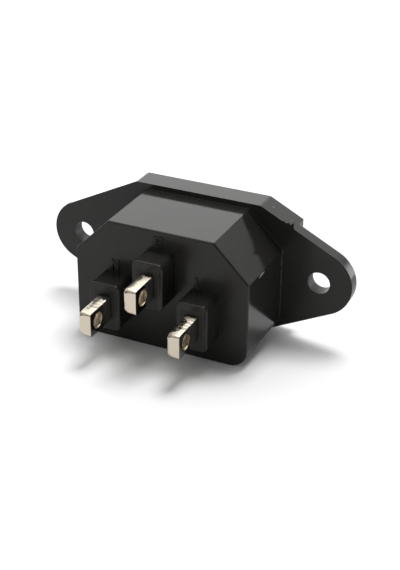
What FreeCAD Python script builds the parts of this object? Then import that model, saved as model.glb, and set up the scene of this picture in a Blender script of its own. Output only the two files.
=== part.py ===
import FreeCAD, Part
import math
import os
import Sketcher

# Panel inlet socket of the three-pole appliance kind, for screwing into a panel cut-out.
# Frame: X runs along the two ears, Y points out of the panel towards the mating connector,
# and Z points up towards the earth pole. The origin lies midway between the two screw
# holes, in the rear face of the flange, which is the face that seats on the panel.
# All sizes are in millimetres and the draft is in degrees.

SIZES = {
    # flange with two screw ears
    "screw_pitch": 40.0,
    "screw_hole_radius": 1.75,
    "ear_radius": 5.2,
    "ear_thickness": 2.3,
    "flange_height": 21.4,
    "flange_shoulder": 3.7,
    "flange_corner_radius": 1.0,
    # raised collar round the socket mouth
    "collar_overhang": 1.7,
    "collar_thickness": 4.2,
    # body behind the flange
    "body_width": 28.0,
    "roof_lip": 0.95,
    "floor_lip": 1.05,
    "body_depth": 12.6,
    "body_chamfer": 5.55,
    "body_corner_radius": 2.9,
    "body_draft": 0.15,
    # socket recess
    "side_wall": 1.65,
    "roof_wall": 1.35,
    "rear_wall": 2.4,
    "socket_chamfer": 4.5,
    "socket_corner_radius": 2.0,
    "mouth_bevel": 0.5,
    # bosses that carry the three blades
    "boss_width": 4.9,
    "boss_height": 7.45,
    "boss_length": 4.1,
    "boss_corner_radius": 0.9,
    # places of the poles
    "live_pitch": 14.0,
    "live_drop": 2.1,
    "earth_rise": 2.9,
    "earth_lead": 0.65,
    # blades, stamped from strip
    "blade_thickness": 2.0,
    "pin_height": 4.0,
    "tail_height": 3.75,
    "tail_reach": 6.0,
    "seat_depth": 1.0,
    "tip_setback": 1.7,
    "tip_bevel": 0.6,
    "heel_radius": 0.35,
    "middle_heel_radius": 0.5,
    "rolled_heel_radius": 1.15,
    "roll_width": 0.75,
    "roll_radius": 0.5,
    "eye_radius": 1.25,
    "eye_inset": 2.15,
    "eye_rim": 0.08,
    "slot_clearance": 0.02,
    # broken edges of the moulding
    "front_edge_radius": 0.3,
    "rear_edge_radius": 0.25,
    "boss_edge_radius": 0.2,
    "junction_radius": 0.15,
}

# The flange's top edge and the collar follow the width of the body behind them.
FLANGE_TOP_WIDTH = "(sizes.body_width - 2 * sizes.flange_shoulder)"
COLLAR_WIDTH = "(sizes.body_width + 2 * sizes.collar_overhang)"

# The body's roof and floor lie a lip inside the flange's top and bottom edges.
BODY_TOP = "(sizes.flange_height / 2 - sizes.roof_lip)"
BODY_BOTTOM = "(sizes.flange_height / 2 - sizes.floor_lip)"
ROOF_Z = SIZES["flange_height"] / 2 - SIZES["roof_lip"]
FLOOR_Z = SIZES["floor_lip"] - SIZES["flange_height"] / 2

# Each pole has its place across and up, and how far it is set forward.
POLES = {
    "earth": ("0", "sizes.earth_rise", "sizes.earth_lead"),
    "neutral": ("-sizes.live_pitch / 2", "-sizes.live_drop", "0"),
    "line": ("sizes.live_pitch / 2", "-sizes.live_drop", "0"),
}

# How near an edge or a face has to be to the place that is asked for.
NEAR = 1e-4

# A straight edge runs along an axis when the cosine between them is at least this.
NEARLY_ALONG = 0.99

# The size that a curve is first drawn with, before its own dimension sets it.
ROUGH = 1.0

# Sketcher's numbers for the origin and the two axes of a sketch.
H_AXIS, V_AXIS = range(-1, -3, -1)

# Sketcher's numbers for the start, the end and the centre of a curve.
START, END, CENTRE = range(1, 4)


def make_sheet(doc):
    """Puts every driving size into a sheet, one row each, under its own name."""
    sheet = doc.addObject("Spreadsheet::Sheet", "sizes")
    for row, (name, value) in enumerate(SIZES.items(), start=1):
        sheet.set(f"A{row}", name)
        sheet.set(f"B{row}", str(value))
        sheet.setAlias(f"B{row}", name)
    doc.recompute()
    return sheet


def origin_plane(body, role):
    """Finds one of the body's own three planes."""
    for feature in body.Origin.OriginFeatures:
        if feature.Role == role:
            return feature
    raise ValueError(role)


def add_sketch(body, name, role, across="0", up="0", along="0"):
    """Adds a sketch on an origin plane, moved in that plane and along its normal."""
    sketch = body.newObject("Sketcher::SketchObject", name)
    sketch.AttachmentSupport = [(origin_plane(body, role), "")]
    sketch.MapMode = "FlatFace"
    sketch.setExpression("AttachmentOffset.Base.x", across)
    sketch.setExpression("AttachmentOffset.Base.y", up)
    sketch.setExpression("AttachmentOffset.Base.z", along)
    return sketch


def tie(sketch, kind, *ends):
    """Adds a constraint that has no size."""
    sketch.addConstraint(Sketcher.Constraint(kind, *ends))


def size(sketch, kind, *ends, expression, rough=ROUGH):
    """Adds a dimension, first as it is roughly drawn, and lets the sheet drive it."""
    index = sketch.addConstraint(Sketcher.Constraint(kind, *ends, rough))
    sketch.setExpression(f"Constraints[{index}]", expression)


def add_loop(sketch, corners):
    """Draws a closed run of straight lines and ties their ends together."""
    points = [FreeCAD.Vector(x, y, 0) for x, y in corners]
    after = points[1:] + points[:1]
    for start, end in zip(points, after):
        sketch.addGeometry(Part.LineSegment(start, end), False)
    for i in range(len(points)):
        tie(sketch, "Coincident", i, END, (i + 1) % len(points), START)


def add_box_outline(sketch, width, height):
    """Draws a rectangle round the middle of a sketch."""
    near = ROUGH
    add_loop(sketch, [(-near, -near), (near, -near), (near, near), (-near, near)])
    bottom, right, top, left = range(4)
    tie(sketch, "Horizontal", bottom)
    tie(sketch, "Vertical", right)
    tie(sketch, "Horizontal", top)
    tie(sketch, "Vertical", left)
    tie(sketch, "Symmetric", bottom, START, top, START, H_AXIS, START)
    size(sketch, "DistanceX", bottom, START, bottom, END, expression=width)
    size(sketch, "DistanceY", right, START, right, END, expression=height)


def add_rectangle(body, name, width, height, across, up, along):
    """Adds a sketch of a rectangle round the given place, square to Y."""
    sketch = add_sketch(body, name, "XZ_Plane", across, up, along)
    add_box_outline(sketch, width, height)
    return sketch


def add_circle(body, name, role, radius, across="0", up="0", along="0"):
    """Adds a sketch of one circle round the given place."""
    sketch = add_sketch(body, name, role, across, up, along)
    circle = Part.Circle(FreeCAD.Vector(), FreeCAD.Vector(0, 0, 1), ROUGH)
    hole = sketch.addGeometry(circle, False)
    tie(sketch, "Coincident", hole, CENTRE, H_AXIS, START)
    size(sketch, "Radius", hole, expression=radius)
    return sketch


def add_line(sketch, x0, y0, x1, y1):
    """Draws one straight line in a sketch."""
    ends = FreeCAD.Vector(x0, y0, 0), FreeCAD.Vector(x1, y1, 0)
    return sketch.addGeometry(Part.LineSegment(*ends), False)


def add_arc(sketch, x, y, radius, first, last):
    """Draws one arc in a sketch, counter-clockwise between two angles in radians."""
    circle = Part.Circle(FreeCAD.Vector(x, y, 0), FreeCAD.Vector(0, 0, 1), radius)
    return sketch.addGeometry(Part.ArcOfCircle(circle, first, last), False)


def add_shell_outline(body, name, along, width, top, bottom, chamfer, radius):
    """Adds the outline of the body or its recess: cut upper corners, round lower ones."""
    sketch = add_sketch(body, name, "XZ_Plane", along=along)
    near = 4 * ROUGH
    far = 2 * near
    right_angle = math.pi / 2
    roof = add_line(sketch, -near, far, near, far)
    slope = add_line(sketch, near, far, far, near)
    side = add_line(sketch, far, near, far, -near)
    corner = add_arc(sketch, near, -near, near, -right_angle, 0)
    floor = add_line(sketch, near, -far, -near, -far)
    far_corner = add_arc(sketch, -near, -near, near, 2 * right_angle, 3 * right_angle)
    far_side = add_line(sketch, -far, -near, -far, near)
    far_slope = add_line(sketch, -far, near, -near, far)

    tie(sketch, "Coincident", roof, END, slope, START)
    tie(sketch, "Coincident", slope, END, side, START)
    tie(sketch, "Coincident", far_side, END, far_slope, START)
    tie(sketch, "Coincident", far_slope, END, roof, START)
    tie(sketch, "Tangent", side, END, corner, END)
    tie(sketch, "Tangent", floor, START, corner, START)
    tie(sketch, "Tangent", floor, END, far_corner, END)
    tie(sketch, "Tangent", far_side, START, far_corner, START)
    tie(sketch, "Symmetric", roof, START, roof, END, V_AXIS)
    tie(sketch, "Symmetric", slope, END, far_slope, START, V_AXIS)
    tie(sketch, "Horizontal", floor)
    tie(sketch, "Vertical", side)
    tie(sketch, "Vertical", far_side)
    tie(sketch, "Equal", corner, far_corner)
    size(sketch, "DistanceX", far_side, END, side, START, expression=width)
    size(sketch, "DistanceY", H_AXIS, START, roof, END, expression=top)
    size(sketch, "DistanceY", floor, START, H_AXIS, START, expression=bottom)
    size(sketch, "DistanceX", slope, START, slope, END, expression=chamfer)
    size(sketch, "DistanceY", slope, END, slope, START, expression=chamfer)
    size(sketch, "Radius", corner, expression=radius)
    return sketch


def add_flange_outline(body):
    """Adds the outline with an ear at each side, its straight edges tangent to the ears."""
    half_top = SIZES["body_width"] / 2 - SIZES["flange_shoulder"]
    half_height = SIZES["flange_height"] / 2
    ear_x = SIZES["screw_pitch"] / 2
    radius = SIZES["ear_radius"]
    reach = math.hypot(ear_x - half_top, half_height)
    slope = math.asin(radius / reach) - math.atan2(half_height, ear_x - half_top)
    turn = slope + math.pi / 2
    touch_x = ear_x + radius * math.cos(turn)
    touch_y = radius * math.sin(turn)

    sketch = add_sketch(body, "flange_outline", "XZ_Plane")
    top = add_line(sketch, -half_top, half_height, half_top, half_height)
    upper_right = add_line(sketch, half_top, half_height, touch_x, touch_y)
    right_ear = add_arc(sketch, ear_x, 0, radius, -turn, turn)
    lower_right = add_line(sketch, touch_x, -touch_y, half_top, -half_height)
    bottom = add_line(sketch, half_top, -half_height, -half_top, -half_height)
    lower_left = add_line(sketch, -half_top, -half_height, -touch_x, -touch_y)
    left_ear = add_arc(sketch, -ear_x, 0, radius, math.pi - turn, math.pi + turn)
    upper_left = add_line(sketch, -touch_x, touch_y, -half_top, half_height)

    tie(sketch, "Coincident", top, END, upper_right, START)
    tie(sketch, "Coincident", lower_right, END, bottom, START)
    tie(sketch, "Coincident", bottom, END, lower_left, START)
    tie(sketch, "Coincident", upper_left, END, top, START)
    tie(sketch, "Tangent", upper_right, END, right_ear, END)
    tie(sketch, "Tangent", lower_right, START, right_ear, START)
    tie(sketch, "Tangent", lower_left, END, left_ear, END)
    tie(sketch, "Tangent", upper_left, START, left_ear, START)
    tie(sketch, "Symmetric", top, START, top, END, V_AXIS)
    tie(sketch, "Symmetric", bottom, START, bottom, END, V_AXIS)
    tie(sketch, "Symmetric", top, END, bottom, START, H_AXIS)
    tie(sketch, "Symmetric", left_ear, CENTRE, right_ear, CENTRE, V_AXIS)
    tie(sketch, "PointOnObject", right_ear, CENTRE, H_AXIS)
    tie(sketch, "Equal", left_ear, right_ear)
    size(sketch, "Radius", right_ear, expression="sizes.ear_radius")
    pitch = left_ear, CENTRE, right_ear, CENTRE
    size(sketch, "DistanceX", *pitch, expression="sizes.screw_pitch")
    size(sketch, "DistanceX", top, START, top, END, expression=FLANGE_TOP_WIDTH)
    half = H_AXIS, START, top, END
    size(sketch, "DistanceY", *half, expression="sizes.flange_height / 2")
    return sketch


def add_pad(body, name, sketch, length, backwards=False, both_ways=False, taper="0"):
    """Adds material from a sketch, along the sketch's normal unless told otherwise."""
    pad = body.newObject("PartDesign::Pad", name)
    pad.Profile = sketch
    pad.Reversed = backwards
    if both_ways:
        pad.SideType = "Symmetric"
    pad.setExpression("Length", length)
    pad.setExpression("TaperAngle", taper)
    body.Document.recompute()
    return pad


def add_pocket(body, name, sketch, length, backwards=False, both_ways=False):
    """Cuts a sketch out of the body, against the sketch's normal unless told otherwise."""
    body.Document.recompute()
    before = body.Shape.Volume
    pocket = body.newObject("PartDesign::Pocket", name)
    pocket.Profile = sketch
    pocket.Reversed = backwards
    if both_ways:
        pocket.SideType = "Symmetric"
    pocket.setExpression("Length", length)
    body.Document.recompute()
    if not body.Shape.Volume < before - NEAR:
        raise RuntimeError(f"{name} cuts nothing")
    return pocket


def add_mirror(body, name, features):
    """Repeats features on the other side of the plane between the ears."""
    mirror = body.newObject("PartDesign::Mirrored", name)
    mirror.Originals = features
    mirror.MirrorPlane = (origin_plane(body, "YZ_Plane"), [""])
    body.Tip = mirror
    body.Document.recompute()
    return mirror


def dress(body, kind, name, expression, wanted):
    """Fillets or chamfers every edge of the body that the test wanted accepts."""
    base = body.Tip
    edges = enumerate(base.Shape.Edges, start=1)
    names = [f"Edge{number}" for number, edge in edges if wanted(edge)]
    feature = body.newObject(f"PartDesign::{kind}", name)
    feature.Base = (base, names)
    feature.setExpression("Radius" if kind == "Fillet" else "Size", expression)
    body.Document.recompute()
    return feature


def is_at(edge, y):
    """Says whether an edge lies wholly in the plane at this y."""
    box = edge.BoundBox
    return abs(box.YMin - y) < NEAR and abs(box.YMax - y) < NEAR


def runs_along(edge, axis):
    """Says whether an edge is straight and within a few degrees of an axis."""
    if len(edge.Vertexes) < 2:
        return False
    chord = edge.Vertexes[1].Point - edge.Vertexes[0].Point
    is_straight = chord.Length > edge.Length - NEAR
    return is_straight and abs(chord.dot(axis)) > NEARLY_ALONG * chord.Length


def make_housing(doc):
    """Builds the moulding: flange, collar, body, bosses, recess, slots and holes."""
    body = doc.addObject("PartDesign::Body", "housing")
    body.Label = "housing"
    along_y = FreeCAD.Vector(0, 1, 0)
    front = SIZES["collar_thickness"]
    rear = -SIZES["body_depth"]
    boss_end = rear - SIZES["boss_length"]

    # The flange is padded to the full collar, then the ears are thinned from the front.
    outline = add_flange_outline(body)
    add_pad(body, "flange", outline, "sizes.collar_thickness", backwards=True)

    def is_flange_corner(edge):
        x = edge.CenterOfMass.x
        return runs_along(edge, along_y) and abs(x) < SIZES["screw_pitch"] / 2 - SIZES["ear_radius"]

    radius = "sizes.flange_corner_radius"
    dress(body, "Fillet", "flange_corners", radius, is_flange_corner)
    overhang = f"(sizes.screw_pitch / 2 + 2 * sizes.ear_radius - {COLLAR_WIDTH} / 2)"
    relief = add_rectangle(
        body, "ear_relief_outline", overhang, "sizes.flange_height",
        f"{COLLAR_WIDTH} / 2 + {overhang} / 2", "0", "-sizes.collar_thickness",
    )
    step = "sizes.collar_thickness - sizes.ear_thickness"
    ear_relief = add_pocket(body, "ear_relief", relief, step, backwards=True)
    add_mirror(body, "ear_reliefs", [ear_relief])
    dress(
        body, "Fillet", "front_edges", "sizes.front_edge_radius",
        lambda edge: is_at(edge, front) or is_ear_rim(edge),
    )

    # The body tapers slightly away from the flange, as a moulding does.
    shell = add_shell_outline(
        body, "body_outline", "0", "sizes.body_width", BODY_TOP, BODY_BOTTOM,
        "sizes.body_chamfer", "sizes.body_corner_radius",
    )
    add_pad(body, "body_block", shell, "sizes.body_depth", taper="-sizes.body_draft")
    radius = "sizes.rear_edge_radius"
    dress(body, "Fillet", "rear_edges", radius, lambda edge: is_at(edge, rear))
    radius = "sizes.junction_radius"
    dress(body, "Fillet", "junction", radius, lambda edge: is_at(edge, 0) and not is_flange_rim(edge))

    for pole, (across, up, lead) in POLES.items():
        sketch = add_rectangle(
            body, f"{pole}_boss_outline", "sizes.boss_width", "sizes.boss_height",
            across, up, "sizes.body_depth",
        )
        add_pad(body, f"{pole}_boss", sketch, "sizes.boss_length")

    def is_boss_corner(edge):
        return runs_along(edge, along_y) and edge.CenterOfMass.y < rear

    radius = "sizes.boss_corner_radius"
    dress(body, "Fillet", "boss_corners", radius, is_boss_corner)
    radius = "sizes.boss_edge_radius"
    dress(body, "Fillet", "boss_edges", radius, lambda edge: is_at(edge, boss_end))

    cut_recess(body, front)
    for pole, (across, up, lead) in POLES.items():
        cut_slot(body, pole, across, up, lead)

    hole = add_circle(
        body, "screw_hole_outline", "XZ_Plane", "sizes.screw_hole_radius",
        across="sizes.screw_pitch / 2", along="-sizes.collar_thickness",
    )
    through = "2 * sizes.collar_thickness"
    screw_hole = add_pocket(body, "screw_hole", hole, through, backwards=True)
    add_mirror(body, "screw_holes", [screw_hole])
    return body


def is_flange_rim(edge):
    """Says whether an edge runs round the outside of the flange's rear face."""
    point = edge.CenterOfMass
    beside = abs(point.x) > SIZES["body_width"] / 2 + NEAR
    below = point.z < FLOOR_Z - NEAR
    above = point.z > ROOF_Z + NEAR
    return beside or below or above


def is_ear_rim(edge):
    """Says whether an edge runs round the outside of an ear's front face."""
    if not is_at(edge, SIZES["ear_thickness"]):
        return False
    collar_side = SIZES["body_width"] / 2 + SIZES["collar_overhang"]
    return abs(edge.CenterOfMass.x) > collar_side + NEAR


def cut_recess(body, front):
    """Cuts the socket recess from the front and bevels its mouth."""
    shell = add_shell_outline(
        body, "recess_outline", "-sizes.collar_thickness",
        "sizes.body_width - 2 * sizes.side_wall",
        f"{BODY_TOP} - sizes.roof_wall",
        f"{BODY_BOTTOM} - sizes.roof_wall",
        "sizes.socket_chamfer",
        "sizes.socket_corner_radius",
    )
    depth = "sizes.collar_thickness + sizes.body_depth - sizes.rear_wall"
    add_pocket(body, "recess", shell, depth, backwards=True)
    inside = SIZES["body_width"] / 2 - SIZES["side_wall"]

    def is_mouth(edge):
        return is_at(edge, front) and edge.BoundBox.XLength < 2 * inside + NEAR and is_inner(edge)

    def is_inner(edge):
        middle = edge.CenterOfMass
        low = FLOOR_Z + SIZES["roof_wall"]
        high = ROOF_Z - SIZES["roof_wall"]
        return abs(middle.x) < inside + NEAR and low - NEAR < middle.z < high + NEAR

    dress(body, "Chamfer", "mouth", "sizes.mouth_bevel", is_mouth)


def cut_slot(body, pole, across, up, lead):
    """Cuts the stepped slot that one blade is pushed into from the recess."""
    room = "2 * sizes.slot_clearance"
    tail = add_rectangle(
        body, f"{pole}_tail_slot_outline",
        f"sizes.blade_thickness + {room}", f"sizes.tail_height + {room}",
        across, up, "sizes.body_depth + sizes.boss_length",
    )
    through = "sizes.boss_length + sizes.rear_wall"
    add_pocket(body, f"{pole}_tail_slot", tail, through)
    pin = add_rectangle(
        body, f"{pole}_pin_slot_outline",
        f"sizes.blade_thickness + {room}", f"sizes.pin_height + {room}",
        across, up, "sizes.body_depth - sizes.rear_wall",
    )
    depth = f"sizes.rear_wall + sizes.seat_depth - {lead}"
    add_pocket(body, f"{pole}_pin_slot", pin, depth, backwards=True)


def add_tail_outline(body, name, along, to_shoulder, radius):
    """Adds the outline of the tail on one side of the strip, from heel to shoulder."""
    sketch = add_sketch(body, name, "YZ_Plane", along=along)
    near = ROUGH
    far = 3 * near
    back = 2 * far
    half_turn = math.pi
    floor = add_line(sketch, near, -far, back, -far)
    shoulder = add_line(sketch, back, -far, back, far)
    roof = add_line(sketch, back, far, near, far)
    upper = add_arc(sketch, near, far - near, near, half_turn / 2, half_turn)
    heel = add_line(sketch, 0, far - near, 0, near - far)
    lower = add_arc(sketch, near, near - far, near, half_turn, 3 * half_turn / 2)
    tie(sketch, "Coincident", floor, END, shoulder, START)
    tie(sketch, "Coincident", shoulder, END, roof, START)
    tie(sketch, "Tangent", roof, END, upper, START)
    tie(sketch, "Tangent", heel, START, upper, END)
    tie(sketch, "Tangent", heel, END, lower, START)
    tie(sketch, "Tangent", floor, START, lower, END)
    tie(sketch, "Horizontal", floor)
    tie(sketch, "Horizontal", roof)
    tie(sketch, "Vertical", heel)
    tie(sketch, "PointOnObject", heel, START, V_AXIS)
    tie(sketch, "Symmetric", shoulder, START, shoulder, END, H_AXIS)
    tie(sketch, "Equal", upper, lower)
    reach = H_AXIS, START, floor, END
    size(sketch, "DistanceX", *reach, expression=to_shoulder, rough=back)
    height = shoulder, START, shoulder, END
    size(sketch, "DistanceY", *height, expression="sizes.tail_height", rough=2 * far)
    size(sketch, "Radius", upper, expression=radius)
    return sketch


def add_loft(body, name, outlines):
    """Adds the solid that runs straight from each outline to the next."""
    loft = body.newObject("PartDesign::AdditiveLoft", name)
    loft.Profile = outlines[0]
    loft.Sections = outlines[1:]
    loft.Ruled = True
    body.Document.recompute()
    return loft


def make_blade(doc, pole, across, up, lead):
    """Builds one blade: socket pin, shoulder and solder tail in one stamped bar."""
    name = f"{pole}_blade"
    body = doc.addObject("PartDesign::Body", name)
    body.Label = name
    to_shoulder = "(sizes.tail_reach + sizes.boss_length - sizes.seat_depth)"
    to_front = "(sizes.body_depth + sizes.collar_thickness - sizes.tip_setback)"
    length = f"(sizes.tail_reach + sizes.boss_length + {to_front})"
    half_thickness = "sizes.blade_thickness / 2"

    # The punch rolled the tail's corners over on one side and left them square on the other.
    sides = (
        ("rolled", f"-{half_thickness}", "sizes.rolled_heel_radius"),
        ("middle", f"sizes.roll_width - {half_thickness}", "sizes.middle_heel_radius"),
        ("square", half_thickness, "sizes.heel_radius"),
    )
    outlines = [
        add_tail_outline(body, f"{pole}_{side}_outline", along, to_shoulder, radius)
        for side, along, radius in sides
    ]
    add_loft(body, f"{pole}_tail", outlines)

    pin_length = f"({length} - {to_shoulder})"
    sketch = add_sketch(
        body, f"{pole}_pin_outline", "YZ_Plane", across=f"{to_shoulder} + {pin_length} / 2"
    )
    add_box_outline(sketch, pin_length, "sizes.pin_height")
    add_pad(body, f"{pole}_pin", sketch, "sizes.blade_thickness", both_ways=True)

    eye = add_circle(
        body, f"{pole}_eye_outline", "YZ_Plane", "sizes.eye_radius", across="sizes.eye_inset"
    )
    add_pocket(body, f"{pole}_eye", eye, "2 * sizes.blade_thickness", both_ways=True)

    tip_y = body.Shape.BoundBox.YMax
    rolled_x = -SIZES["blade_thickness"] / 2
    shoulder_y = SIZES["tail_reach"] + SIZES["boss_length"] - SIZES["seat_depth"]
    eye_reach = SIZES["eye_radius"] + NEAR

    def is_rolled(edge):
        middle = edge.CenterOfMass
        on_side = edge.BoundBox.XMax < rolled_x + NEAR
        off_eye = abs(middle.z) > eye_reach or middle.y < SIZES["eye_inset"] - eye_reach
        return on_side and off_eye and middle.y < shoulder_y - NEAR

    # The roll leaves a flat rim round the eye.
    beside_eye = "sizes.tail_height / 2 - sizes.eye_radius - sizes.eye_rim"
    roll = f"min(sizes.roll_radius; {beside_eye})"
    dress(body, "Fillet", f"{pole}_rolled_edges", roll, is_rolled)
    dress(body, "Chamfer", f"{pole}_tip", "sizes.tip_bevel", lambda edge: is_at(edge, tip_y))

    body.setExpression("Placement.Base.x", across)
    to_heel = "(sizes.body_depth + sizes.boss_length + sizes.tail_reach)"
    body.setExpression("Placement.Base.y", f"{lead} - {to_heel}")
    body.setExpression("Placement.Base.z", up)
    doc.recompute()
    return body


def check(doc, parts):
    """Stops if any feature failed or any finished piece is empty or not valid."""
    for feature in doc.Objects:
        if "Invalid" in feature.State or "Error" in feature.State:
            raise RuntimeError(f"{feature.Name} failed: {feature.State}")
    for part in parts:
        if part.Shape.isNull() or not part.Shape.isValid():
            raise RuntimeError(f"{part.Label} is not a valid shape")
        if len(part.Shape.Solids) != 1:
            raise RuntimeError(f"{part.Label} is not one solid")


def main():
    doc = FreeCAD.newDocument("panel_inlet")
    make_sheet(doc)
    parts = [make_housing(doc)]
    for pole, (across, up, lead) in POLES.items():
        parts.append(make_blade(doc, pole, across, up, lead))
    doc.recompute()
    check(doc, parts)
    os.makedirs("parts", exist_ok=True)
    for part in parts:
        part.Shape.exportStep(os.path.join("parts", f"{part.Label}.step"))
        box = part.Shape.BoundBox
        print(part.Label, round(part.Shape.Volume, 1), box)


main()
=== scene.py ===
import math
import random

import bmesh
import bpy
from mathutils import Matrix, Vector


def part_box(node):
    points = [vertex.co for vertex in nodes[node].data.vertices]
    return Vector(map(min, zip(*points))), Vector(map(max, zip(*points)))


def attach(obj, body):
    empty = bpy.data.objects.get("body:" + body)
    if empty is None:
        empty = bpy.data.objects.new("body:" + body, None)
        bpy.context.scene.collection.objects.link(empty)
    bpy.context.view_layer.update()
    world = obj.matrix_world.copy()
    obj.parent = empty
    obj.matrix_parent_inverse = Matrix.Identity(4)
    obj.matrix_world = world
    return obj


# Looks of the panel inlet socket, in the row's own frame: X along the ears, Y out of the panel,
# Z up towards the earth pole. The scene is in metres. The named places and sizes below are in
# millimetres, and MM turns them into metres.

MM = 0.001
X = (1.0, 0.0, 0.0)
Y = (0.0, 1.0, 0.0)
Z = (0.0, 0.0, 1.0)
LEFT = (-1.0, 0.0, 0.0)
BACK = (0.0, -1.0, 0.0)

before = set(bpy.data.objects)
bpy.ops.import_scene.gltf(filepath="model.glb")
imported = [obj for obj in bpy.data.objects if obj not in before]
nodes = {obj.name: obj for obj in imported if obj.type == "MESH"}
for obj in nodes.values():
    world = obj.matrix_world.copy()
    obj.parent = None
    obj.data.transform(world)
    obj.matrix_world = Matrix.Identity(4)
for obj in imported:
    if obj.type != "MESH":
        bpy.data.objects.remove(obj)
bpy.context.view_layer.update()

# The camera was fitted to the edges in the photograph.
AZIMUTH = math.radians(24.81)
ELEVATION = math.radians(28.362)
ROLL = math.radians(0.516)
DISTANCE = 185.743
AIM_RIGHT = 0.498
AIM_UP = -4.388
FOCAL_PX = 1201.486
LONG_SIDE_PX = 570
SENSOR = 36.0
CLIP_START = 10.0
CLIP_END = 10000.0

# Places on the part that its looks refer to. The walls of the screw holes and of the blades'
# eyes lie just inside their radii here.
SCREW_HOLE_X = 20.0
SCREW_HOLE_WALL = 1.80
EYE_FROM_HEEL = 2.15
EYE_WALL = 1.30
WALL_BLUR = 0.02
BOSS_END = -16.7
FLANGE_TOP = 10.7
BLADE_HALF = 1.0
# the middle and the top of each slot's mouth
SLOT_MOUTHS = {"earth": (0.0, 4.775), "neutral": (-7.0, -0.225), "line": (7.0, -0.225)}


# Small helpers for node trees

class Tree:
    """A node tree that is filled by short calls. A value is a number or another node's output."""

    def __init__(self, owner):
        owner.use_nodes = True
        self.tree = owner.node_tree
        self.tree.nodes.clear()

    def add(self, kind, inputs=None, **settings):
        """Adds a node and fills its inputs and settings."""
        node = self.tree.nodes.new(kind)
        for name, value in settings.items():
            setattr(node, name, value)
        for key, value in (inputs or {}).items():
            self.put(node.inputs[key], value)
        return node

    def put(self, socket, value):
        """Fills one input."""
        if isinstance(value, bpy.types.NodeSocket):
            self.tree.links.new(value, socket)
        else:
            socket.default_value = value

    def place(self):
        """The place in the frame, in metres."""
        return self.add("ShaderNodeTexCoord").outputs["Object"]

    def normal(self):
        """The way that the surface faces."""
        return self.add("ShaderNodeNewGeometry").outputs["True Normal"]

    def math(self, operation, *values):
        """One step of arithmetic."""
        node = self.add("ShaderNodeMath", operation=operation)
        for socket, value in zip(node.inputs, values):
            self.put(socket, value)
        return node.outputs[0]

    def chain(self, operation, values):
        """The same step repeated from the first value to the last."""
        result, *others = values
        for value in others:
            result = self.math(operation, result, value)
        return result

    def plus(self, *values):
        """The sum."""
        return self.chain("ADD", values)

    def minus(self, *values):
        """The first value less the others."""
        return self.chain("SUBTRACT", values)

    def times(self, *values):
        """The product."""
        return self.chain("MULTIPLY", values)

    def largest(self, *values):
        """The largest of the values."""
        return self.chain("MAXIMUM", values)

    def size(self, value):
        """The value without its sign."""
        return self.math("ABSOLUTE", value)

    def reach(self, a, b):
        """The distance from a centre, from the two offsets."""
        return self.math("SQRT", self.plus(self.times(a, a), self.times(b, b)))

    def dot(self, vector, direction):
        """How far a vector goes in a direction."""
        node = self.add("ShaderNodeVectorMath", operation="DOT_PRODUCT")
        self.put(node.inputs[0], vector)
        self.put(node.inputs[1], direction)
        return node.outputs["Value"]

    def ramp(self, value, low, high, to_low=0.0, to_high=1.0, smooth=True):
        """Goes from one level to another while a value goes from low to high."""
        node = self.add(
            "ShaderNodeMapRange",
            {"Value": value, "From Min": low, "From Max": high, "To Min": to_low, "To Max": to_high},
            interpolation_type="SMOOTHSTEP" if smooth else "LINEAR",
        )
        return node.outputs["Result"]

    def facing(self, normal, direction, low, high):
        """Goes from 0 to 1 while the cosine between a normal and a direction grows."""
        return self.ramp(self.dot(normal, direction), low, high)

    def below(self, value, limit, blur):
        """1 below a limit and 0 above it, blurred by so much on either side."""
        return self.ramp(value, limit + blur, limit - blur)

    def noise(self, vector, scale, detail=3.0, roughness=0.5, distortion=0.0):
        """A cloudy pattern. The scale is the number of its lumps per metre."""
        node = self.add(
            "ShaderNodeTexNoise",
            {
                "Vector": vector, "Scale": scale, "Detail": detail,
                "Roughness": roughness, "Distortion": distortion,
            },
        )
        return node.outputs["Fac"]

    def streaks(self, vector, scales, **settings):
        """A cloudy pattern with a scale of its own along each axis."""
        node = self.add("ShaderNodeMapping", {"Vector": vector, "Scale": scales})
        return self.noise(node.outputs["Vector"], 1.0, **settings)

    def mix(self, factor, a, b):
        """A colour between two others."""
        node = self.add("ShaderNodeMix", data_type="RGBA")
        self.put(node.inputs["Factor"], factor)
        self.put(node.inputs[6], a)
        self.put(node.inputs[7], b)
        return node.outputs[2]

    def bump(self, height, strength, distance):
        """The normal of a surface with a relief. A height of 1 rises by the distance."""
        node = self.add(
            "ShaderNodeBump", {"Strength": strength, "Distance": distance * MM, "Height": height}
        )
        return node.outputs["Normal"]

    def roughen(self, rough, parts, changes):
        """Adds to a roughness what each named part changes."""
        for part, change in changes.items():
            rough = self.plus(rough, self.times(parts[part], change))
        return rough

    def show(self, inputs):
        """Ends a material with a principled surface."""
        shader = self.add("ShaderNodeBsdfPrincipled", inputs)
        self.add("ShaderNodeOutputMaterial", {"Surface": shader.outputs[0]})


def grey(value):
    """A grey of one level."""
    return (value, value, value, 1.0)


def metres(lengths):
    """Lengths in metres, from millimetres."""
    return [length * MM for length in lengths]


def shade(color, factor):
    """A colour made darker or lighter."""
    return tuple(level * factor for level in color) + (1.0,)


def dress(obj, material):
    """Gives an object one material."""
    obj.data.materials.clear()
    obj.data.materials.append(material)


# Black plastic

BLACK = (0.0215, 0.0208, 0.0190)
BLACKER = (0.006, 0.006, 0.006)
SPECK_TINT = (0.32, 0.31, 0.29, 1.0)
SPECK_COVER = 0.85
SPECK_CELLS_PER_METRE = 240.0
SPECK_RARITY = 0.93
PLASTIC_IOR = 1.46
# how much rougher each part of the plastic is than the rest
PLASTIC_DULLER = {
    "hairlines": 0.12,
    "backwards": 0.10,
    "flange_corner": 0.14,
    "left_edges": 0.45,
    "screw_holes": 0.35,
    "boss_ends": 0.30,
}
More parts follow.
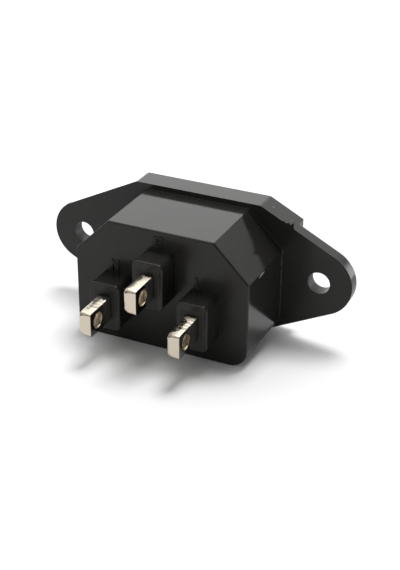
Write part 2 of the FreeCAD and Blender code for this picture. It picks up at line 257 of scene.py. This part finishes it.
# how far the dull corner reaches from the flange, and the dull boss ends from their slots
CORNER_REACH = 0.18
CORNER_BLUR = 0.04
SLOT_REACH = 0.75
SLOT_BLUR = 0.35
BOSS_END_SKIN = 0.45
BOSS_END_BLUR = 0.25
# the relief of the plastic, in steps of 0.03 mm
RELIEF_STEP = 0.03
GRAIN_HEIGHT = 0.05
WAVE_HEIGHT = 1.6
HAIRLINE_HEIGHT = -0.08
SINK_HEIGHT = -3.4
SINK_REACH = 4.5


def find_hairlines(tree, place):
    """Hairlines that run across the faces in two slanting directions, in patches."""
    one_way = tree.streaks(place, (900, 14000, 900), detail=2.0)
    other_way = tree.streaks(place, (12000, 1100, 1100), detail=2.0)
    lines = tree.largest(tree.ramp(one_way, 0.66, 0.74), tree.ramp(other_way, 0.68, 0.76))
    patch = tree.ramp(tree.noise(place, scale=170, detail=2.0), 0.5, 0.72)
    return tree.times(lines, patch)


def find_specks(tree, place):
    """A few pale specks of dust, each in the middle of a cell that was picked by chance."""
    cells = tree.add(
        "ShaderNodeTexVoronoi",
        {"Vector": place, "Scale": SPECK_CELLS_PER_METRE, "Randomness": 1.0},
        feature="F1",
    )
    chance = tree.add("ShaderNodeSeparateColor", {"Color": cells.outputs["Color"]}).outputs[0]
    in_middle = tree.ramp(cells.outputs["Distance"], 0.045, 0.03)
    return tree.times(in_middle, tree.math("GREATER_THAN", chance, SPECK_RARITY))


def find_boss_end(tree, place, backwards, middle, top):
    """The end of one boss, above and beside the mouth of its slot."""
    off_middle = tree.size(tree.minus(tree.dot(place, X), middle * MM))
    off_side = tree.minus(off_middle, BLADE_HALF * MM)
    off_top = tree.minus(tree.dot(place, Z), top * MM)
    close = tree.below(tree.largest(off_side, off_top), SLOT_REACH * MM, SLOT_BLUR * MM)
    skin = (BOSS_END + BOSS_END_SKIN) * MM
    far_back = tree.below(tree.dot(place, Y), skin, BOSS_END_BLUR * MM)
    return tree.times(backwards, far_back, close)


def find_screw_holes(tree, place, not_back):
    """The walls of the two screw holes."""
    off_x = tree.minus(tree.size(tree.dot(place, X)), SCREW_HOLE_X * MM)
    reach = tree.reach(off_x, tree.dot(place, Z))
    in_hole = tree.below(reach, SCREW_HOLE_WALL * MM, WALL_BLUR * MM)
    return tree.times(in_hole, not_back)


def find_plastic_parts(tree, place):
    """The parts of the plastic that are duller than the rest."""
    normal = tree.normal()
    # the mould was left less polished where it shaped the faces that look backwards
    backwards = tree.facing(normal, BACK, 0.9, 0.98)
    not_back = tree.ramp(backwards, 0.5, 0.1)
    # the corner where the body meets the flange
    from_flange = tree.size(tree.dot(place, Y))
    in_corner = tree.below(from_flange, CORNER_REACH * MM, CORNER_BLUR * MM)
    # the rounded edges towards -X
    leftwards = tree.facing(normal, LEFT, 0.1, 0.25)
    left_edges = tree.times(leftwards, tree.facing(normal, BACK, 0.1, 0.2))
    boss_ends = [find_boss_end(tree, place, backwards, *mouth) for mouth in SLOT_MOUTHS.values()]
    return {
        "hairlines": find_hairlines(tree, place),
        "backwards": backwards,
        "flange_corner": tree.times(in_corner, not_back),
        "left_edges": left_edges,
        "screw_holes": find_screw_holes(tree, place, not_back),
        "boss_ends": tree.largest(*boss_ends),
    }


def find_plastic_relief(tree, place, hairlines):
    """Fine grain, slow waves, hairlines, and the roof sinking a little towards the flange."""
    grain = tree.noise(place, scale=5200, detail=2.0)
    wave = tree.noise(place, scale=120, detail=1.0)
    near_flange = tree.ramp(tree.dot(place, Y), -SINK_REACH * MM, 0.0)
    upward = tree.facing(tree.normal(), Z, 0.97, 0.99)
    return tree.plus(
        tree.times(grain, GRAIN_HEIGHT),
        tree.times(wave, WAVE_HEIGHT),
        tree.times(hairlines, HAIRLINE_HEIGHT),
        tree.times(near_flange, near_flange, tree.times(upward, SINK_HEIGHT)),
    )


def make_plastic(name, base, rough_low, rough_high):
    """Black moulded plastic: glossy, slightly wavy, with fine grain, hairlines and dust."""
    material = bpy.data.materials.new(name)
    tree = Tree(material)
    place = tree.place()
    cloud = tree.noise(place, scale=260, detail=4.0, roughness=0.6)
    clean = tree.mix(cloud, shade(base, 0.8), shade(base, 1.25))
    specks = tree.times(find_specks(tree, place), SPECK_COVER)
    parts = find_plastic_parts(tree, place)
    rough = tree.ramp(cloud, 0.3, 0.72, rough_low, rough_high)
    relief = find_plastic_relief(tree, place, parts["hairlines"])
    tree.show({
        "Base Color": tree.mix(specks, clean, SPECK_TINT),
        "Roughness": tree.roughen(rough, parts, PLASTIC_DULLER),
        "Normal": tree.bump(relief, strength=0.5, distance=RELIEF_STEP),
        "IOR": PLASTIC_IOR,
    })
    return material


plastic = make_plastic("moulded_black", BLACK, rough_low=0.11, rough_high=0.17)
flash_plastic = make_plastic("flash_black", BLACKER, rough_low=0.55, rough_high=0.75)
dress(nodes["housing"], plastic)


# Plated blades

BRASS_DARK = (0.88, 0.785, 0.60, 1.0)
BRASS_PALE = (0.97, 0.89, 0.73, 1.0)
ROSY = (0.93, 0.80, 0.70, 1.0)
ROLLED_GREY = (0.60, 0.585, 0.57, 1.0)
# painted shade: the brown that darkens the rounded corners of each blade's heel
HEEL_SHADE = (0.34, 0.28, 0.19, 1.0)
BURNISHED_GREY = (0.66, 0.62, 0.53, 1.0)
# painted light: a pale gold that brightens the walls of each blade's eye
EYE_LIGHT = (1.0, 0.90, 0.68, 1.0)
PIT_BROWN = (0.22, 0.15, 0.06, 1.0)
FLECK_BLACK = (0.035, 0.03, 0.02, 1.0)
# how much of the brass each tint covers
ROSY_COVER = 0.7
ROLLED_COVER = 0.85
HEEL_SHADE_COVER = 0.7
BURNISHED_COVER = 0.5
EYE_LIGHT_COVER = 0.5
PIT_COVER = 0.9
# how much rougher each part of the plating is than the rest
PLATING_DULLER = {
    "torn": 0.08,
    "burnished": 0.25,
    "eye": 0.10,
    "heel_corner": -0.06,
    "rolled": -0.12,
}
# How each blade was sheared. The torn strip reaches past the middle of the sheared face by its
# width, and loses the taper again towards the boss. The speckle sets how dark its flecks are
# and how rough it is torn, and the facets set how wavy the sheared faces are.
SHEARED = {
    "earth": {
        "torn_tint": (0.50, 0.44, 0.425, 1.0), "torn_cover": 0.80,
        "torn_width": 0.0, "torn_taper": 0.6, "speckle": 0.10, "facets": 1.6,
    },
    "neutral": {
        "torn_tint": (0.46, 0.44, 0.40, 1.0), "torn_cover": 0.70,
        "torn_width": 0.1, "torn_taper": 0.0, "speckle": 0.45, "facets": 6.0,
    },
    "line": {
        "torn_tint": (0.26, 0.24, 0.18, 1.0), "torn_cover": 0.80,
        "torn_width": 0.3, "torn_taper": 1.0, "speckle": 0.95, "facets": 7.0,
    },
}
# the torn strip: how far its border wanders, how far it keeps from the middle at the heel,
# where it has grown to its width and where it tapers, from the heel, and its soft border
TORN_WANDER = 0.7
TORN_SHY = 0.6
TORN_GROWS = (0.3, 1.6)
TORN_TAPERS = (4.0, 5.4)
TORN_BORDER = (-0.16, -0.04)
# the relief of the plating, in steps of 0.04 mm
PLATING_STEP = 0.04
SOFT_HEIGHT = 0.25
FINE_HEIGHT = 0.04
ROLLED_SMOOTHER = 0.7
CROWN_PER_SQUARE_METRE = -6.0e6
TEAR_HEIGHT = 3.2
STREAK_IN_TEAR = 0.4
STREAK_HEIGHT = 0.45
PIT_HEIGHT = 2.0


def find_blade_patterns(tree, place, local):
    """The patterns that colour, gloss and relief of a blade share."""
    return {
        "soft": tree.noise(place, scale=700, detail=3.0, roughness=0.6),
        "coarse": tree.streaks(local, (1500, 700, 700), detail=3.0, roughness=0.65, distortion=0.6),
        "streak": tree.streaks(local, (600, 7000, 900), detail=3.0, roughness=0.6),
        "fine": tree.streaks(local, (9000, 1500, 9000), detail=2.0),
        "fleck": tree.streaks(local, (2600, 1300, 2600), detail=4.0, roughness=0.7, distortion=0.8),
    }


def find_torn_strip(tree, across, from_heel, coarse, cut):
    """The torn strip on the -X side of a sheared face. The rest of the face is burnished."""
    wander = tree.times(tree.minus(coarse, 0.5), TORN_WANDER * MM)
    width = tree.ramp(from_heel, *metres(TORN_GROWS), *metres((TORN_SHY, -cut["torn_width"])))
    taper = tree.ramp(from_heel, *metres(TORN_TAPERS), *metres((0.0, cut["torn_taper"])))
    border = tree.plus(across, wander, width, taper)
    return tree.ramp(border, *metres(TORN_BORDER), 1.0, 0.0)


def find_blade_parts(tree, place, local, heel, coarse, cut):
    """The parts of a blade that differ in colour, gloss or relief."""
    normal = tree.normal()
    upward = tree.size(tree.dot(normal, Z))
    sideways = tree.size(tree.dot(normal, X))
    behind = tree.dot(normal, BACK)
    from_heel = tree.minus(tree.dot(place, Y), heel)
    across = tree.dot(local, X)
    sheared = tree.ramp(upward, 0.55, 0.8)
    strip = find_torn_strip(tree, across, from_heel, coarse, cut)
    torn = tree.times(strip, tree.ramp(upward, 0.3, 0.5))
    eye_reach = tree.reach(tree.minus(from_heel, EYE_FROM_HEEL * MM), tree.dot(local, Z))
    in_eye = tree.below(eye_reach, EYE_WALL * MM, WALL_BLUR * MM)
    return {
        "sheared": sheared,
        "rolled": tree.ramp(sideways, 0.9, 0.98),
        "end": tree.ramp(behind, 0.9, 0.98),
        "heel_corner": tree.times(tree.ramp(behind, 0.22, 0.4), tree.ramp(upward, 0.25, 0.4)),
        "eye": tree.times(in_eye, tree.ramp(sideways, 0.6, 0.4)),
        "torn": torn,
        "burnished": tree.largest(tree.minus(sheared, torn), 0.0),
    }


def tint_plating(tree, local, patterns, parts, cut):
    """The colour of a blade: pale brass, with a tint of its own on each part, painted shade on the
    heel's rounded corners and painted light in the eye.
    """
    blush = tree.ramp(tree.streaks(local, (500, 500, 1500), detail=3.0), 0.42, 0.62)
    pits = tree.ramp(patterns["fleck"], 0.46, 0.58, 0.0, PIT_COVER)
    flecks = tree.times(tree.ramp(patterns["fleck"], 0.47, 0.57), parts["torn"])
    covers = (
        (tree.times(parts["end"], blush, ROSY_COVER), ROSY),
        (tree.times(parts["rolled"], ROLLED_COVER), ROLLED_GREY),
        (tree.times(parts["torn"], cut["torn_cover"]), cut["torn_tint"]),
        # painted shade on the rounded corners of the heel
        (tree.times(parts["heel_corner"], HEEL_SHADE_COVER), HEEL_SHADE),
        (tree.times(parts["burnished"], BURNISHED_COVER), BURNISHED_GREY),
        # painted light on the walls of the eye
        (tree.times(parts["eye"], EYE_LIGHT_COVER), EYE_LIGHT),
        (tree.times(parts["eye"], pits), PIT_BROWN),
        (tree.times(flecks, cut["speckle"]), FLECK_BLACK),
    )
    color = tree.mix(patterns["soft"], BRASS_DARK, BRASS_PALE)
    for cover, tint in covers:
        color = tree.mix(cover, color, tint)
    return color


def find_plating_relief(tree, local, patterns, parts, cut):
    """The relief of a blade: lumpy torn strips, facets on the sheared faces, a pitted eye."""
    across = tree.dot(local, X)
    skin = tree.plus(
        tree.times(patterns["soft"], SOFT_HEIGHT), tree.times(patterns["fine"], FINE_HEIGHT)
    )
    skin = tree.times(skin, tree.minus(1.0, tree.times(parts["rolled"], ROLLED_SMOOTHER)))
    # the sheared faces are slightly crowned
    crown = tree.times(across, across, tree.times(parts["sheared"], CROWN_PER_SQUARE_METRE))
    lumps = tree.plus(patterns["coarse"], tree.times(patterns["streak"], STREAK_IN_TEAR))
    tear = tree.times(lumps, parts["torn"], TEAR_HEIGHT * cut["speckle"])
    wave = tree.streaks(local, (500, 1500, 500), detail=2.0, distortion=0.5)
    ripple = tree.plus(
        tree.times(patterns["streak"], STREAK_HEIGHT), tree.times(wave, cut["facets"])
    )
    facets = tree.times(ripple, parts["sheared"])
    pits = tree.times(patterns["fleck"], parts["eye"], PIT_HEIGHT)
    return tree.plus(skin, crown, tear, facets, pits)


def make_plating(name, centre, heel, cut):
    """Pale plated brass of one blade, sheared rough along its top and bottom faces."""
    material = bpy.data.materials.new(name)
    tree = Tree(material)
    place = tree.place()
    from_centre = tree.add("ShaderNodeVectorMath", {0: place, 1: centre}, operation="SUBTRACT")
    local = from_centre.outputs[0]
    patterns = find_blade_patterns(tree, place, local)
    parts = find_blade_parts(tree, place, local, heel, patterns["coarse"], cut)
    rough = tree.ramp(patterns["soft"], 0.3, 0.7, 0.17, 0.26)
    relief = find_plating_relief(tree, local, patterns, parts, cut)
    tree.show({
        "Base Color": tint_plating(tree, local, patterns, parts, cut),
        "Metallic": 1.0,
        "Roughness": tree.roughen(rough, parts, PLATING_DULLER),
        "Normal": tree.bump(relief, strength=0.7, distance=PLATING_STEP),
    })
    return material


for pole, cut in SHEARED.items():
    low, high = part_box(f"{pole}_blade")
    dress(nodes[f"{pole}_blade"], make_plating(f"plated_{pole}", (low + high) / 2, low.y, cut))


# Pieces that ride on the housing

def add_piece(name, mesh, material):
    """Adds a mesh as a piece that rides on the root."""
    piece = bpy.data.objects.new(name, mesh)
    bpy.context.scene.collection.objects.link(piece)
    dress(piece, material)
    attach(piece, "root")


# Raised pole letters on the rear face

REAR_FACE_RANGE = (-14.0, -10.0)
# the strokes, as shares of the font's size
STROKE_EXTRUSION = 0.02
STROKE_BEVEL = 0.05
STROKE_THINNING = 0.012
LETTER_RISE = 0.19
# each letter, its place across and up, its height and its width
LETTERS = {
    "earth": ("E", -0.2, 7.98, 1.85, 1.55),
    "neutral": ("N", -7.32, 2.7, 1.95, 1.25),
    "line": ("L", 6.15, 2.75, 1.9, 1.1),
}


def find_rear_face():
    """The y of the flat rear face of the body, between the bosses and the flange."""
    areas = {}
    for polygon in nodes["housing"].data.polygons:
        if polygon.normal.y < -0.999:
            key = round(polygon.center.y, 5)
            areas[key] = areas.get(key, 0.0) + polygon.area
    furthest, nearest = REAR_FACE_RANGE
    behind = {y: area for y, area in areas.items() if furthest * MM < y < nearest * MM}
    return max(behind, key=behind.get)


def make_letter_mesh(name, letter):
    """The mesh of one letter with rounded strokes, lying flat, in the font's own size."""
    curve = bpy.data.curves.new(name, "FONT")
    curve.body = letter
    curve.size = 1.0
    curve.align_x = "CENTER"
    curve.align_y = "CENTER"
    curve.extrude = STROKE_EXTRUSION
    curve.offset = -STROKE_THINNING
    curve.bevel_depth = STROKE_BEVEL
    curve.bevel_resolution = 2
    curve.resolution_u = 4
    text = bpy.data.objects.new(name + "_text", curve)
    bpy.context.scene.collection.objects.link(text)
    bpy.context.view_layer.update()
    shaped = text.evaluated_get(bpy.context.evaluated_depsgraph_get())
    mesh = bpy.data.meshes.new_from_object(shaped)
    bpy.data.objects.remove(text)
    return mesh


def add_letter(name, rear_face, letter, x, z, height, width):
    """Adds one raised letter that stands on the rear face."""
    mesh = make_letter_mesh(name, letter)
    xs = [vertex.co.x for vertex in mesh.vertices]
    ys = [vertex.co.y for vertex in mesh.vertices]
    middle = Vector(((min(xs) + max(xs)) / 2, (min(ys) + max(ys)) / 2, 0))
    fit_x = width * MM / (max(xs) - min(xs))
    fit_y = height * MM / (max(ys) - min(ys))
    fit_z = LETTER_RISE * MM / (STROKE_EXTRUSION + STROKE_BEVEL)
    mesh.transform(Matrix.Translation(-middle))
    mesh.transform(Matrix.Diagonal((fit_x, fit_y, fit_z, 1.0)))
    mesh.transform(Matrix.Rotation(math.pi / 2, 4, "X"))
    mesh.transform(Matrix.Translation((x * MM, rear_face, z * MM)))
    add_piece(name, mesh, plastic)


rear_face = find_rear_face()
for pole, letter in LETTERS.items():
    add_letter(f"letter_{pole}", rear_face, *letter)


# Flash and burrs

FLASH_THICK = 0.05
FLASH_SUNK = 0.1
# how far the black flash creeps along each blade's top face from the mouth of its slot
CREPT = {
    "earth": (0.2, 0.12, 0.25, 0.75, 0.3, 0.7, 0.35, 0.5),
    "neutral": (0.3, 0.3, 0.5, 1.2, 1.05, 1.6, 1.1, 1.3),
    "line": (0.3, 0.2, 0.1, 0.3, 0.1, 0.25, 0.1, 0.2),
}
CREPT_STEP = 0.225
CREPT_FROM_SIDE = 0.42
# the low ragged flash beside each blade, from its lower end up
SIDE_FLASH_DROP = 3.4
SIDE_FLASH_LENGTH = 3.2
SIDE_FLASH_STEP = 0.25
SIDE_FLASH_HIGH = 0.12
# the torn burr on the flange's right slope
SLOPE = (0.873, 0.0, -0.488)
SLOPE_UP = (0.488, 0.0, 0.873)
SLOPE_BURR_PLACE = (13.5, -0.03, 8.911)
SLOPE_BURR_THICK = 0.09
SLOPE_BURR_SUNK = 0.15
SLOPE_BURR = (
    (0.1, 0.02), (0.3, 0.16), (0.45, 0.34), (0.72, 0.28), (0.95, 0.3), (1.12, 0.52), (1.3, 0.62),
    (1.5, 0.46), (1.62, 0.52), (1.76, 0.98), (1.95, 1.05), (2.06, 0.6), (2.24, 0.4), (2.42, 0.26),
    (2.5, 0.0),
)
# the tiny burrs on the flange's top edge: where each one starts, and how high its tip is
TOP_BURRS = ((3.4, 0.1192), (7.8, 0.1144), (8.6, 0.112))
TOP_BURR_Y = -0.03
TOP_BURR_THICK = 0.08
TOP_BURR_LOW = 0.12
TOP_BURR_SUNK = 0.05
TOP_BURR_LENGTH = 0.5
TOP_BURR_SHOULDER = 0.1


def add_fin(name, corner, along, outward, thick, profile):
    """Adds a thin fin: a profile of (distance, height) pairs along an edge, given a thickness."""
    foot = Vector(corner) * MM
    along = Vector(along)
    outward = Vector(outward)
    thick = Vector(thick) * MM
    rim = [foot + along * (far * MM) + outward * (high * MM) for far, high in profile]
    mesh = bpy.data.meshes.new(name)
    sheet = bmesh.new()
    front = [sheet.verts.new(point) for point in rim]
    rear = [sheet.verts.new(point + thick) for point in rim]
    sheet.faces.new(front)
    sheet.faces.new(rear[::-1])
    count = len(rim)
    for index in range(count):
        after = (index + 1) % count
        sheet.faces.new((front[index], rear[index], rear[after], front[after]))
    bmesh.ops.recalc_face_normals(sheet, faces=sheet.faces)
    bmesh.ops.triangulate(sheet, faces=sheet.faces)
    sheet.to_mesh(mesh)
    sheet.free()
    add_piece(name, mesh, flash_plastic)


def stand(crest, start, end, sunk):
    """A profile: a crest above a straight foot that is sunk into what it stands on."""
    return [(start, -sunk), *crest, (end, -sunk)]


def add_top_flash(pole, middle, top):
    """Adds the flash that creeps along the top of one blade."""
    crest = [(CREPT_STEP * step, far) for step, far in enumerate(CREPT[pole])]
    profile = stand(crest, 0.0, crest[-1][0], FLASH_SUNK)
    corner = (middle - BLADE_HALF + CREPT_FROM_SIDE, BOSS_END, top)
    add_fin(f"flash_{pole}_top", corner, X, BACK, (0, 0, FLASH_THICK), profile)


def add_side_flash(pole, middle, top):
    """Adds the ragged flash beside one blade."""
    steps = round(SIDE_FLASH_LENGTH / SIDE_FLASH_STEP) + 1
    crest = [(SIDE_FLASH_STEP * step, random.uniform(0.0, SIDE_FLASH_HIGH)) for step in range(steps)]
    profile = stand(crest, 0.0, SIDE_FLASH_LENGTH, FLASH_SUNK)
    corner = (middle + BLADE_HALF, BOSS_END, top - SIDE_FLASH_DROP)
    add_fin(f"flash_{pole}_side", corner, Z, BACK, (FLASH_THICK, 0, 0), profile)


def add_slope_burr():
    """Adds the torn burr on the flange's right slope."""
    profile = stand(SLOPE_BURR, SLOPE_BURR[0][0], SLOPE_BURR[-1][0], SLOPE_BURR_SUNK)
    add_fin("burr_slope", SLOPE_BURR_PLACE, SLOPE, SLOPE_UP, (0, SLOPE_BURR_THICK, 0), profile)


def add_top_burr(x, tip):
    """Adds one tiny burr on the flange's top edge."""
    crest = ((0.1, TOP_BURR_SHOULDER), (0.22, tip), (0.42, TOP_BURR_SHOULDER))
    profile = stand(crest, 0.0, TOP_BURR_LENGTH, TOP_BURR_SUNK)
    corner = (x, TOP_BURR_Y, FLANGE_TOP - TOP_BURR_LOW)
    add_fin(f"burr_top_{round(x * 10)}", corner, X, Z, (0, TOP_BURR_THICK, 0), profile)


random.seed(14)
for pole, (middle, top) in SLOT_MOUTHS.items():
    add_top_flash(pole, middle, top)
    add_side_flash(pole, middle, top)
add_slope_burr()
for x, tip in TOP_BURRS:
    add_top_burr(x, tip)


# Dust and a painted highlight

DUST_DARK = (0.42, 0.40, 0.37, 1.0)
DUST_PALE = (0.80, 0.77, 0.72, 1.0)
# painted highlight: the pale matte greys of the sliver beside the right chamfer
HIGHLIGHT_DARK = (0.17, 0.17, 0.16, 1.0)
HIGHLIGHT_PALE = (0.38, 0.37, 0.35, 1.0)
# a place above each grain of dust on the flange's right slope, and its size
GRAINS = (
    (11.66, 1.78, 9.94, 0.11),
    (11.56, 0.3, 10.0, 0.04),
    (13.17, 0.3, 9.1, 0.05),
    (14.56, 1.66, 8.32, 0.06),
)
GRAIN_DROP = 2.0
# how a grain is flattened, as shares of its size
GRAIN_SHAPE = (1.0, 0.8, 0.5)
# the sliver beside the right chamfer, painted pale grey as a highlight: its place, its half lengths
# and the way it faces
SLIVER_PLACE = (13.98, -8.5, 3.84)
SLIVER_HALVES = (1.2, 0.10, 0.05)
SLIVER_FACING = (0.50, -0.31, 0.80)


def make_dull(name, low, high):
    """A dull material, mottled between two tones."""
    material = bpy.data.materials.new(name)
    tree = Tree(material)
    mottled = tree.noise(tree.place(), scale=9000)
    tree.show({"Base Color": tree.mix(mottled, low, high), "Roughness": 0.8})
    return material


def add_blob(name, place, halves, facing, material):
    """Adds one small smooth blob with three half lengths, such as a grain of dust or the sliver with
    the painted highlight. Its third axis faces a given way.
    """
    mesh = bpy.data.meshes.new(name)
    ball = bmesh.new()
    bmesh.ops.create_icosphere(ball, subdivisions=3, radius=1.0)
    for face in ball.faces:
        face.smooth = True
    ball.to_mesh(mesh)
    ball.free()
    third = Vector(facing).normalized()
    first = Vector(Y)
    first = (first - third * first.dot(third)).normalized()
    second = third.cross(first)
    turn = Matrix((first, second, third)).transposed().to_4x4()
    shape = Matrix.Diagonal((*(half * MM for half in halves), 1.0))
    mesh.transform(Matrix.Translation(Vector(place) * MM) @ turn @ shape)
    add_piece(name, mesh, material)


def add_dust(name, x, y, z, size, material):
    """Drops one flat grain of dust onto the housing."""
    above = Vector((x, y, z)) * MM + Vector(SLOPE_UP) * (GRAIN_DROP * MM)
    _, surface, _, _ = nodes["housing"].ray_cast(above, -Vector(SLOPE_UP))
    halves = [size * share for share in GRAIN_SHAPE]
    add_blob(name, surface / MM, halves, SLOPE_UP, material)


dust = make_dull("dust", DUST_DARK, DUST_PALE)
# painted highlight on the sliver beside the right chamfer
painted_highlight = make_dull("painted_highlight", HIGHLIGHT_DARK, HIGHLIGHT_PALE)
for index, grain in enumerate(GRAINS):
    add_dust(f"dust_{index}", *grain, dust)
add_blob("highlight_sliver", SLIVER_PLACE, SLIVER_HALVES, SLIVER_FACING, painted_highlight)


# Floor

FLOOR_HALF = 2500.0
# the grey of the floor for light, where the camera has it white
FLOOR_LIT = 0.60
# how near to the lowest point the flange stands, and how far behind that edge the body is
TOUCHING = 0.01
BODY_BEHIND_FLANGE = 5.0
# where the floor ends for light, and where it fades for the camera
LIGHT_END = (90.0, 120.0)
SIGHT_END = (250.0, 500.0)


def find_tilt():
    """The y and z of the edge that the flange stands on, and the tilt of a floor that touches
    both this edge and the rear lower edge of the body."""
    points = [vertex.co for vertex in nodes["housing"].data.vertices]
    low = min(point.z for point in points)
    foot = min(point.y for point in points if point.z < low + TOUCHING * MM)
    behind = [point for point in points if point.y < foot - BODY_BEHIND_FLANGE * MM]
    slope = min((point.z - low) / (foot - point.y) for point in behind)
    return foot, low, math.atan(slope)


def make_floor_white():
    """White that is seen from above only, and that ends some way out."""
    material = bpy.data.materials.new("white_sweep")
    tree = Tree(material)
    seen = tree.add("ShaderNodeLightPath").outputs["Is Camera Ray"]
    color = tree.mix(seen, grey(FLOOR_LIT), grey(1.0))
    diffuse = tree.add("ShaderNodeBsdfDiffuse", {"Color": color})
    clear = tree.add("ShaderNodeBsdfTransparent")
    geometry = tree.add("ShaderNodeNewGeometry")
    away = tree.add("ShaderNodeVectorMath", {0: geometry.outputs["Position"]}, operation="LENGTH")
    # For light the floor ends close by, so that the rims of the ears mirror the bright backdrop.
    # For the camera it fades into the white behind it, before the lamps' light runs out.
    past_light = tree.ramp(away.outputs["Value"], *metres(LIGHT_END))
    past_sight = tree.ramp(away.outputs["Value"], *metres(SIGHT_END))
    far_out = tree.largest(tree.times(past_light, tree.minus(1.0, seen)), past_sight)
    open_share = tree.largest(geometry.outputs["Backfacing"], far_out)
    shader = tree.add(
        "ShaderNodeMixShader", {0: open_share, 1: diffuse.outputs[0], 2: clear.outputs[0]}
    )
    tree.add("ShaderNodeOutputMaterial", {"Surface": shader.outputs[0]})
    return material


def add_floor():
    """Adds a wide pale floor that the socket rests on."""
    foot, low, tilt = find_tilt()
    half = FLOOR_HALF * MM
    corners = [(-half, -half, 0), (half, -half, 0), (half, half, 0), (-half, half, 0)]
    mesh = bpy.data.meshes.new("floor")
    mesh.from_pydata(corners, [], [(0, 1, 2, 3)])
    floor = bpy.data.objects.new("floor", mesh)
    floor.matrix_world = Matrix.Translation((0, foot, low)) @ Matrix.Rotation(-tilt, 4, "X")
    bpy.context.scene.collection.objects.link(floor)
    dress(floor, make_floor_white())


# Backdrop and lamps

BRIGHT_SIDE = (-0.45, 0.75, 0.48)
# the studio grows from dim to halfway up to this cosine to the bright side, then brighter
HALFWAY = 0.6
DIM_LEVEL = 0.14
HALFWAY_LEVEL = 0.62
BRIGHTER_BY = 1.0
BACKDROP_BRIGHTER_BY = 2.4
LAMP_DISTANCE = 1200.0
# each lamp: the way to it, the length of its side in millimetres and its power in watts
LAMPS = {
    "overhead": ((0.04, 0.32, 0.95), 500.0, 8.0),
    "front_fill": ((-0.25, -0.75, 0.60), 900.0, 1.6),
}


def add_world():
    """White for the camera, and a soft studio round the object for light."""
    world = bpy.data.worlds.new("studio")
    bpy.context.scene.world = world
    tree = Tree(world)
    way = tree.add("ShaderNodeTexCoord").outputs["Generated"]
    facing = tree.dot(way, Vector(BRIGHT_SIDE).normalized())
    near = tree.ramp(facing, 0.0, HALFWAY, DIM_LEVEL, HALFWAY_LEVEL, smooth=False)
    far = tree.ramp(facing, HALFWAY, 1.0, 0.0, BRIGHTER_BY, smooth=False)
    # the backdrop is brightest low down behind the object
    low_down = tree.ramp(tree.size(tree.dot(way, Z)), 0.10, 0.30, 1.0, 0.0)
    behind = tree.ramp(tree.dot(way, Y), 0.35, 0.75)
    level = tree.plus(near, far, tree.times(low_down, behind, BACKDROP_BRIGHTER_BY))
    # the camera sees exactly 1
    seen = tree.add("ShaderNodeLightPath").outputs["Is Camera Ray"]
    strength = tree.plus(tree.times(level, tree.minus(1.0, seen)), seen)
    back = tree.add("ShaderNodeBackground", {"Color": grey(1.0), "Strength": strength})
    tree.add("ShaderNodeOutputWorld", {"Surface": back.outputs[0]})


def add_lamp(name, direction, side, power):
    """Adds a square soft box that looks at the origin."""
    data = bpy.data.lights.new(name, "AREA")
    data.shape = "SQUARE"
    data.size = side * MM
    data.energy = power
    lamp = bpy.data.objects.new(name, data)
    away = Vector(direction).normalized()
    lamp.location = away * (LAMP_DISTANCE * MM)
    lamp.rotation_mode = "QUATERNION"
    lamp.rotation_quaternion = away.to_track_quat("Z", "Y")
    lamp.visible_camera = False
    bpy.context.scene.collection.objects.link(lamp)


add_floor()
add_world()
for name, lamp in LAMPS.items():
    add_lamp(name, *lamp)


# Camera

def add_camera():
    """Adds the camera of the photograph."""
    back = Vector((
        math.sin(AZIMUTH) * math.cos(ELEVATION),
        -math.cos(AZIMUTH) * math.cos(ELEVATION),
        math.sin(ELEVATION),
    ))
    right = Vector((math.cos(AZIMUTH), math.sin(AZIMUTH), 0))
    up = back.cross(right)
    rolled_right = right * math.cos(ROLL) + up * math.sin(ROLL)
    rolled_up = up * math.cos(ROLL) - right * math.sin(ROLL)
    eye = back * (DISTANCE * MM) + rolled_right * (AIM_RIGHT * MM) + rolled_up * (AIM_UP * MM)
    data = bpy.data.cameras.new("camera")
    data.sensor_width = SENSOR
    data.lens = FOCAL_PX * SENSOR / LONG_SIDE_PX
    data.clip_start = CLIP_START * MM
    data.clip_end = CLIP_END * MM
    camera = bpy.data.objects.new("camera", data)
    turn = Matrix((rolled_right, rolled_up, back)).transposed().to_4x4()
    camera.matrix_world = Matrix.Translation(eye) @ turn
    bpy.context.scene.collection.objects.link(camera)
    bpy.context.scene.camera = camera


add_camera()
bpy.context.scene.view_settings.view_transform = "Standard"
